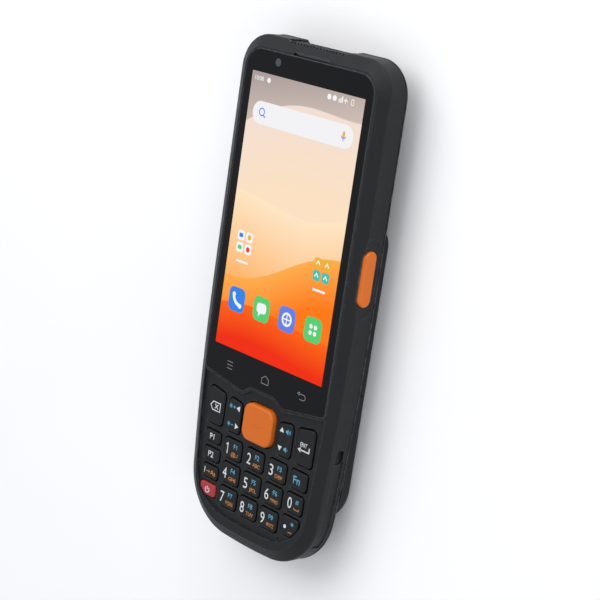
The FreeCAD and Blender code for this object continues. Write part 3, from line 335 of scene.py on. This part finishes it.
class Print:
    """Collects flat shapes for one thin piece: ink on a key or an icon on the screen."""

    def __init__(self, name, top_mm, depth=INK_DEPTH, lift=INK_LIFT):
        self.name = name
        self.top = top_mm + lift
        self.depth = depth
        self.mesh = bmesh.new()
        self.materials = []

    def slot(self, material):
        if material not in self.materials:
            self.materials.append(material)
        return self.materials.index(material)

    def fill(self, outlines, material, lift=0.0):
        """Adds one filled shape; a second outline inside the first one is a hole."""
        index = self.slot(material)
        top = mm(self.top + lift)
        low = top - mm(self.depth)
        edges = []
        first = len(self.mesh.faces)
        for outline in outlines:
            verts = [self.mesh.verts.new((mm(x), mm(y), top)) for x, y in outline]
            for i, v in enumerate(verts):
                edges.append(self.mesh.edges.new((v, verts[(i + 1) % len(verts)])))
        made = bmesh.ops.triangle_fill(self.mesh, edges=edges, use_beauty=True, use_dissolve=False)
        faces = [g for g in made["geom"] if isinstance(g, bmesh.types.BMFace)]
        for face in faces:
            if face.normal.z < 0:
                face.normal_flip()
        grown = bmesh.ops.extrude_face_region(self.mesh, geom=faces, use_keep_orig=True)
        for v in [g for g in grown["geom"] if isinstance(g, bmesh.types.BMVert)]:
            v.co.z = low
        self.mesh.faces.ensure_lookup_table()
        for face in self.mesh.faces[first:]:
            face.material_index = index

    def line(self, points, width, material, closed=False, lift=0.0):
        self.fill(stroke(points, width, closed), material, lift)

    def text(self, words, x, y, cap_mm, material, weight=0.0, width_mm=None, lift=0.0):
        """Adds words centred on (x, y), with capitals cap_mm high."""
        index = self.slot(material)
        curve = bpy.data.curves.new("words", "FONT")
        curve.body = words
        curve.size = 1.0
        curve.offset = weight
        curve.resolution_u = 4
        curve.fill_mode = "FRONT"
        holder = bpy.data.objects.new("words", curve)
        bpy.context.scene.collection.objects.link(holder)
        bpy.context.view_layer.update()
        flat = bpy.data.meshes.new_from_object(
            holder.evaluated_get(bpy.context.evaluated_depsgraph_get()))
        bpy.data.objects.remove(holder)
        bpy.data.curves.remove(curve)
        xs = [v.co.x for v in flat.vertices]
        wide = max(xs) - min(xs)
        scale_y = cap_mm / CAP_SHARE
        scale_x = scale_y if width_mm is None else width_mm / wide
        middle = (max(xs) + min(xs)) / 2
        top = mm(self.top + lift)
        part = bmesh.new()
        part.from_mesh(flat)
        bpy.data.meshes.remove(flat)
        bmesh.ops.remove_doubles(part, verts=part.verts, dist=1e-5)
        for v in part.verts:
            v.co = Vector((mm(x + (v.co.x - middle) * scale_x),
                           mm(y + (v.co.y - CAP_SHARE / 2) * scale_y), top))
        for face in part.faces:
            face.normal_update()
            if face.normal.z < 0:
                face.normal_flip()
        grown = bmesh.ops.extrude_face_region(part, geom=part.faces[:], use_keep_orig=True)
        for v in [g for g in grown["geom"] if isinstance(g, bmesh.types.BMVert)]:
            v.co.z = top - mm(self.depth)
        for face in part.faces:
            face.material_index = index
        joined = bpy.data.meshes.new("joined")
        part.to_mesh(joined)
        part.free()
        self.mesh.from_mesh(joined)
        bpy.data.meshes.remove(joined)

    def done(self, body):
        bmesh.ops.recalc_face_normals(self.mesh, faces=self.mesh.faces[:])
        data = bpy.data.meshes.new(self.name)
        self.mesh.to_mesh(data)
        self.mesh.free()
        for material in self.materials:
            data.materials.append(material)
        piece = bpy.data.objects.new(self.name, data)
        bpy.context.scene.collection.objects.link(piece)
        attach(piece, body)
        return piece


# Camera
def add_camera():
    data = bpy.data.cameras.new("photo_camera")
    data.sensor_width = SENSOR_MM
    data.lens = FOCAL_PX / IMAGE_PX * SENSOR_MM
    data.clip_start = 0.01
    camera = bpy.data.objects.new("photo_camera", data)
    bpy.context.scene.collection.objects.link(camera)
    right = Vector(CAMERA_RIGHT).normalized()
    down = Vector(CAMERA_DOWN)
    down = (down - right * down.dot(right)).normalized()
    back = right.cross(-down)
    matrix = Matrix((right, -down, back)).transposed().to_4x4()
    matrix.translation = Vector(mm(*CAMERA_AT_MM))
    camera.matrix_world = matrix
    bpy.context.scene.camera = camera


def add_light(name, place, target, size, power, colour=(1.0, 1.0, 1.0)):
    data = bpy.data.lights.new(name, "AREA")
    data.shape = "RECTANGLE"
    data.size, data.size_y = size
    data.energy = power
    data.color = colour
    lamp = bpy.data.objects.new(name, data)
    bpy.context.scene.collection.objects.link(lamp)
    lamp.location = place
    lamp.rotation_euler = (Vector(target) - Vector(place)).to_track_quat("-Z", "Y").to_euler()


def add_studio():
    scene = bpy.context.scene
    scene.view_settings.view_transform = "Standard"
    world = bpy.data.worlds.new("studio")
    scene.world = world
    world.use_nodes = True
    sky = world.node_tree.nodes["Background"]
    sky.inputs["Color"].default_value = (0.93, 0.95, 1.0, 1.0)
    sky.inputs["Strength"].default_value = 0.68
    add_light("key_light", (-0.30, 0.80, 1.00), TARGET, (1.3, 1.1), 8.5, (1.0, 0.99, 0.97))
    add_light("side_light", (1.0, -0.25, 0.22), (0, -0.02, 0), (0.35, 1.0), 3.4)
    add_light("end_light", (0.15, 1.0, 0.30), TARGET, (0.9, 0.35), 4.5)

    t = Tree("floor_pale")
    grain = t.noise(9.0, 3.0, 0.5)
    t.feed(t.shader.inputs["Base Color"],
           t.mix(t.spread(grain, 0.3, 0.7, 0.0, 1.0), (0.92, 0.92, 0.92), (0.94, 0.94, 0.94)))
    t.feed(t.shader.inputs["Roughness"], t.spread(grain, 0.3, 0.7, 0.85, 0.95))
    bm = bmesh.new()
    bmesh.ops.create_grid(bm, x_segments=8, y_segments=8, size=3.0)
    data = bpy.data.meshes.new("floor")
    bm.to_mesh(data)
    bm.free()
    data.materials.append(t.material)
    floor = bpy.data.objects.new("floor", data)
    floor.location.z = FLOOR_Z
    scene.collection.objects.link(floor)


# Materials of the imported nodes
BODY = (0.0090, 0.0104, 0.0114)
# Body edges: lightened partly as wear and partly as a painted highlight on the bright rim lines.
BODY_EDGE_WEAR_AND_HIGHLIGHT = (0.85, (0.085, 0.094, 0.101))
# Back edges: lightened mainly as a painted highlight standing in for a rim light, in rubbed patches like
# wear.
BACK_EDGE_HIGHLIGHT_AND_WEAR = (0.9, (0.150, 0.165, 0.175))


def dress_nodes():
    """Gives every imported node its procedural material."""
    body = moulded("body_plastic", BODY, 0.52, 0.26, 0.30, BODY_EDGE_WEAR_AND_HIGHLIGHT)
    back = moulded("back_plastic", (0.0105, 0.0115, 0.0125), 0.60, 0.45, 0.45, BACK_EDGE_HIGHLIGHT_AND_WEAR)
    cap = moulded("keycap_plastic", (0.0075, 0.0085, 0.0095), 0.44, 0.16, 0.18,
                  (0.35, (0.035, 0.038, 0.042)))
    orange = moulded("orange_plastic", (0.62, 0.135, 0.012), 0.42, 0.16, 0.14,
                     (0.25, (0.80, 0.26, 0.05)))
    red = moulded("red_plastic", (0.36, 0.035, 0.040), 0.42, 0.16, 0.16, (0.25, (0.6, 0.14, 0.13)))
    rubber = moulded("flap_rubber", (0.020, 0.021, 0.022), 0.72, 0.18, 0.25, (0.2, (0.05, 0.05, 0.05)))
    seal = moulded("seal_rubber", (0.012, 0.012, 0.012), 0.8, 0.2, 0.2)
    mat = moulded("mat_rubber", (0.012, 0.0125, 0.013), 0.75, 0.2, 0.2)
    # The last colour is a painted highlight along the edges of the glass.
    glass = polished("glass_black", (0.0065, 0.0065, 0.0072), 0.07, 0.0, 0.04, 0.12,
                     (0.150, 0.160, 0.168))
    lens = polished("lens_black", (0.012, 0.012, 0.018), 0.03, 1.0)
    tinted = polished("scan_tint", (0.045, 0.004, 0.006), 0.04, 1.0)
    frosted = polished("flash_frost", (0.55, 0.53, 0.45), 0.25, 0.5)
    module = moulded("module_black", (0.015, 0.015, 0.016), 0.5, 0.3, 0.2)
    steel = metal("plated_steel", (0.55, 0.55, 0.56), 0.3)
    black_steel = metal("black_zinc", (0.09, 0.09, 0.095), 0.38)
    cast = metal("cast_metal", (0.45, 0.45, 0.47), 0.5, 0.3)
    gold = metal("gold_plate", (0.78, 0.52, 0.18), 0.25)
    board = moulded("solder_mask", (0.012, 0.075, 0.038), 0.35, 0.5, 0.1)
    film = moulded("flex_film", (0.35, 0.15, 0.03), 0.35, 0.3, 0.1)
    glue = moulded("black_adhesive", (0.01, 0.01, 0.01), 0.6, 0.3, 0.2)

    finishes = {
        "front_housing": body, "rear_housing": back, "scan_bezel": back, "battery_pack": back,
        "battery_latch": cap, "cover_glass": glass, "glass_adhesive": glue, "lcd_module": module,
        "housing_gasket": seal, "inner_frame": cast, "earpiece": module, "earpiece_mesh": black_steel,
        "front_camera": lens, "keypad_mat": mat, "key_domes": steel, "keypad_board": board,
        "keypad_flex": film, "display_flex": film, "main_board": board, "shield_cans": steel,
        "side_switch": module, "side_key": orange,
        "battery_contacts": gold, "sim_socket": steel, "nfc_antenna": film, "scan_window": tinted,
        "scan_engine": module, "rear_camera": module, "camera_window": lens, "flash_window": frosted,
        "rear_speaker": module, "vibration_motor": steel, "microphone": steel, "usb_port": steel,
        "port_flap": rubber, "flap_pin": steel, "dock_contacts": gold, "housing_screws": black_steel,
        "key_scan": orange, "key_power": red,
    }
    for name, piece in NODES.items():
        piece.data.materials.clear()
        piece.data.materials.append(finishes.get(name, cap))


# Screen
def add_screen():
    """The lit picture, the plain signs on it and the printed marks under it."""
    white = lit("lit_white", (0.92, 0.92, 0.94))
    blue = lit("lit_blue", (0.035, 0.23, 0.80))
    green = lit("lit_green", (0.10, 0.62, 0.17))
    indigo = lit("lit_indigo", (0.13, 0.22, 0.78))
    teal = lit("lit_teal", (0.05, 0.55, 0.42))
    amber = lit("lit_amber", (0.85, 0.45, 0.03))
    red = lit("lit_red", (0.75, 0.05, 0.03))

    picture = Print("screen_picture", GLASS_Z, 0.02, PICTURE_LIFT)
    picture.fill([rounded(0, SCREEN_Y, ACTIVE_W, ACTIVE_H, 0.25, 3)], wallpaper("screen_wallpaper"))
    picture.done("root")

    art = Print("screen_signs", GLASS_Z, 0.012, PICTURE_LIFT + 0.014)
    cy = SCREEN_Y
    # Status row: a time and a few plain marks
    art.text("10:08", -21.4, cy + 42.3, 1.35, white)
    art.fill([disc(-17.0, cy + 42.3, 0.8)], white)
    for i, x in enumerate((10.0, 12.3)):
        art.fill([disc(x, cy + 42.3, 0.85)], white)
    for i in range(3):
        art.fill([rounded(14.3 + i * 0.65, cy + 41.9 + i * 0.25, 0.42, 1.0 + i * 0.5, 0.1, 2)], white)
    art.line([(17.0, cy + 41.5), (17.0, cy + 43.1)], 0.3, white)
    art.line([(16.2, cy + 42.1), (17.0, cy + 42.7), (17.8, cy + 42.1)], 0.3, white)
    art.line(rounded(19.9, cy + 42.3, 1.0, 1.7, 0.3, 3), 0.22, white, closed=True)
    # Search bar with a plain lens mark at each end
    art.fill([rounded(0, cy + 31.9, 44.8, 7.2, 3.55, 10)], lit("lit_bar", (0.90, 0.89, 0.91)))
    art.line(disc(-18.2, cy + 32.2, 1.15, 20), 0.36, blue, closed=True, lift=SIGN_LIFT)
    art.line([(-17.4, cy + 31.4), (-16.6, cy + 30.6)], 0.42, blue, lift=SIGN_LIFT)
    art.fill([rounded(18.3, cy + 32.4, 1.0, 2.0, 0.48, 5)], amber, lift=SIGN_LIFT)
    art.line(arc_points(18.3, cy + 32.3, 1.05, 200, 340, 10), 0.28, blue, lift=SIGN_LIFT)
    art.line([(18.3, cy + 31.2), (18.3, cy + 30.4)], 0.28, blue, lift=SIGN_LIFT)
    # Two groups of four small tiles, with a bar in the place of a name
    groups = ((-17.8, (white, white, white, white)), (17.7, (amber, amber, teal, teal)))
    for gx, tints in groups:
        for i, tint in enumerate(tints):
            x, y = gx - 1.95 + 3.9 * (i % 2), cy - 7.6 - 3.9 * (i // 2)
            art.fill([rounded(x, y, 3.2, 3.2, 0.8)], tint)
            if tint is white:
                mark = (blue, amber, green, red)[i]
                shape = disc(x, y, 0.85) if i % 2 else rounded(x, y, 1.8, 1.3, 0.35)
                art.fill([shape], mark, lift=SIGN_LIFT)
            else:
                arrow = [(x - 0.8, y - 0.5), (x, y + 0.6), (x + 0.8, y - 0.5)]
                art.line(arrow, 0.4, white, lift=SIGN_LIFT)
        art.fill([rounded(gx, cy - 15.9, 5.6, 0.7, 0.34)], white)
    # Dock of four tiles
    tiles = ((-17.7, blue), (-5.9, green), (5.9, indigo), (17.7, green))
    for x, tint in tiles:
        art.fill([rounded(x, cy - 28.3, 7.5, 7.9, 2.0, 8)], tint)
    y = cy - 28.3
    art.line(arc_points(-16.0, y + 1.7, 3.3, 180, 270, 10), 1.1, white, lift=SIGN_LIFT)
    art.fill([disc(-19.2, y + 1.5, 0.75)], white, lift=SIGN_LIFT)
    art.fill([disc(-15.9, y - 1.8, 0.75)], white, lift=SIGN_LIFT)
    art.fill([rounded(-5.9, y + 0.3, 4.4, 3.3, 1.2)], white, lift=SIGN_LIFT)
    art.fill([[(-7.0, y - 0.9), (-5.4, y - 0.9), (-7.2, y - 2.6)]], white, lift=SIGN_LIFT)
    art.line(disc(5.9, y, 1.9, 24), 0.7, white, closed=True, lift=SIGN_LIFT)
    art.line([(5.9, y - 1.5), (5.9, y + 1.5)], 0.4, white, lift=SIGN_LIFT)
    art.line([(4.4, y), (7.4, y)], 0.4, white, lift=0.012)
    for i in range(4):
        art.fill([disc(16.7 + 2.0 * (i % 2), y + 1.0 - 2.0 * (i // 2), 0.72, 16)], white, lift=SIGN_LIFT)
    art.done("root")

    marks = Print("touch_marks", GLASS_Z)
    tone = ink("grey_print", GREY_INK)
    y = cy - 49.9
    for i in (-1, 0, 1):
        marks.line([(-17.9, y + i * 1.15), (-15.3, y + i * 1.15)], MARK_LINE, tone)
    house = [(-1.3, y - 1.15), (1.9, y - 1.15), (1.9, y + 0.5), (0.3, y + 1.5), (-1.3, y + 0.5)]
    marks.line(house, MARK_LINE, tone, closed=True)
    marks.line([(15.6, y + 0.75), (18.0, y + 0.75)], MARK_LINE, tone)
    marks.line(arc_points(18.0, y - 0.1, 0.85, 90, -90, 10), MARK_LINE, tone)
    marks.line([(18.0, y - 0.95), (16.4, y - 0.95)], MARK_LINE, tone)
    marks.fill([[(15.1, y + 0.75), (16.2, y + 1.45), (16.2, y + 0.05)]], tone)
    marks.fill([disc(-14.0, cy + 48.4, 1.25)], ink("camera_ring", (0.045, 0.05, 0.06)))
    marks.done("root")


# Key legends
def triangle(cx, cy, size, way):
    """Arrow head that points along way, given in degrees."""
    tip = [(size, 0.0), (-size * 0.6, size * 0.95), (-size * 0.6, -size * 0.95)]
    c, s = math.cos(math.radians(way)), math.sin(math.radians(way))
    return [(cx + x * c - y * s, cy + x * s + y * c) for x, y in tip]


def sun(art, cx, cy, r, tone):
    art.fill([disc(cx, cy, r * 0.5, 14)], tone)
    for i in range(8):
        a = math.radians(45 * i)
        inner, outer = r * 0.68, r
        art.line([(cx + inner * math.cos(a), cy + inner * math.sin(a)),
                  (cx + outer * math.cos(a), cy + outer * math.sin(a))], r * 0.26, tone)


def loudspeaker(art, cx, cy, s, waves, tone):
    art.fill([[(cx - s, cy - s * 0.4), (cx - s * 0.45, cy - s * 0.4), (cx + s * 0.15, cy - s),
               (cx + s * 0.15, cy + s), (cx - s * 0.45, cy + s * 0.4), (cx - s, cy + s * 0.4)]], tone)
    for i in range(waves):
        art.line(arc_points(cx + s * 0.15, cy, s * (0.55 + 0.45 * i), -48, 48, 6), s * 0.2, tone)


def key_middle(name):
    low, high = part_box(name)
    return (low[0] + high[0]) * 500.0, (low[1] + high[1]) * 500.0


def add_legends():
    white = ink("white_ink", WHITE_INK)
    blue = ink("blue_ink", BLUE_INK)
    orange = ink("orange_ink", ORANGE_INK)
    bold = 0.012

    letters = ["@./", "ABC", "DEF", "GHI", "JKL", "MNO", "PQRS", "TUV", "WXYZ"]
    for number, word in enumerate(letters, start=1):
        name = "key_%d" % number
        x, y = key_middle(name)
        art = Print("legend_%d" % number, KEY_Z)
        if number == 1:
            art.line([(x - 2.95, y + 1.0), (x - 2.2, y + 1.6), (x - 2.2, y - 1.9)], 0.38, white)
        else:
            art.text(str(number), x - 2.35, y - 0.1, 3.6, white, 0.0, 1.85)
        art.text("F%d" % number, x + 1.35, y + 1.2, 1.55, blue, bold)
        art.text(word, x + 1.35, y - 1.45, 1.2, orange, bold, min(3.4, 1.15 * len(word)))
        art.done(name)

    x, y = key_middle("key_0")
    art = Print("legend_0", KEY_Z)
    art.text("0", x - 1.7, y, 3.6, white, 0.0, 1.85)
    art.text("#", x + 1.5, y + 1.1, 1.5, blue, bold)
    space = [(x + 0.5, y - 0.9), (x + 0.5, y - 1.5), (x + 2.6, y - 1.5), (x + 2.6, y - 0.9)]
    art.line(space, 0.24, orange)
    art.done("key_0")

    x, y = key_middle("key_dot")
    art = Print("legend_dot", KEY_Z)
    art.fill([disc(x - 1.9, y - 0.3, 0.62, 18)], white)
    for i in range(3):
        a = math.radians(90 + 60 * i)
        dx, dy = 0.62 * math.cos(a), 0.62 * math.sin(a)
        ends = [(x + 1.2 - dx, y + 1.3 - dy), (x + 1.2 + dx, y + 1.3 + dy)]
        art.line(ends, 0.26, blue, lift=i * 0.001)
    art.line([(x - 0.2, y - 1.6), (x + 1.6, y - 1.6)], 0.26, orange)
    art.done("key_dot")

    for name, word, tone, size in (("key_fn", "Fn", blue, 2.5), ("key_p1", "P1", white, 1.9),
                                   ("key_p2", "P2", white, 1.9)):
        x, y = key_middle(name)
        art = Print("legend_" + name[4:], KEY_Z)
        art.text(word, x - (0.6 if name == "key_fn" else 0.1), y, size, tone, bold)
        art.done(name)

    x, y = key_middle("key_case")
    art = Print("legend_case", KEY_Z)
    art.text("1", x - 2.3, y + 0.1, 1.9, white, bold)
    art.line([(x - 1.45, y), (x - 0.25, y)], 0.26, orange)
    art.fill([triangle(x - 0.1, y, 0.5, 0)], orange)
    art.text("Aa", x + 1.75, y, 1.6, orange, bold)
    art.done("key_case")

    x, y = key_middle("key_power")
    art = Print("legend_power", KEY_Z)
    art.line(arc_points(x + 0.1, y - 0.1, 0.95, 130, 410, 20), 0.3, white)
    art.line([(x + 0.1, y - 0.1), (x + 0.1, y + 1.15)], 0.3, white)
    art.done("key_power")

    x, y = key_middle("key_backspace")
    art = Print("legend_backspace", KEY_Z)
    y -= 0.2
    shape = [(x - 2.3, y), (x - 1.2, y + 1.4), (x + 2.3, y + 1.4), (x + 2.3, y - 1.4),
             (x - 1.2, y - 1.4)]
    art.line(shape, 0.32, white, closed=True)
    art.line([(x - 0.2, y - 0.75), (x + 1.3, y + 0.75)], 0.32, white)
    art.line([(x - 0.2, y + 0.75), (x + 1.3, y - 0.75)], 0.32, white, lift=0.001)
    art.done("key_backspace")

    x, y = key_middle("key_enter")
    art = Print("legend_enter", KEY_Z)
    art.text("ENT", x - 0.4, y + 0.6, 1.4, white, bold, 3.0)
    art.line([(x + 2.2, y + 0.4), (x + 2.2, y - 1.2), (x - 1.8, y - 1.2)], 0.42, white)
    art.fill([triangle(x - 2.0, y - 1.2, 0.85, 180)], white)
    art.done("key_enter")

    x, y = key_middle("rocker_left")
    art = Print("legend_rocker_left", KEY_Z)
    for way, dy in ((180, 3.0), (0, -3.0)):
        sun(art, x - 1.9, y + dy, 0.8, blue)
        art.line([(x - 0.75, y + dy), (x + 0.25, y + dy)], 0.26, blue)
        if dy > 0:
            art.line([(x - 0.25, y + dy - 0.5), (x - 0.25, y + dy + 0.5)], 0.26, blue, lift=0.001)
        art.fill([triangle(x + 1.75, y + dy, 1.0, way)], white)
    art.done("rocker_left")

    x, y = key_middle("rocker_right")
    art = Print("legend_rocker_right", KEY_Z)
    for way, dy, waves in ((90, 2.9, 2), (270, -2.9, 1)):
        art.fill([triangle(x - 1.5, y + dy - 0.1, 1.0, way)], white)
        loudspeaker(art, x + 1.3, y + dy, 0.95, waves, blue)
    art.done("rocker_right")


add_camera()
add_studio()
dress_nodes()
add_screen()
add_legends()
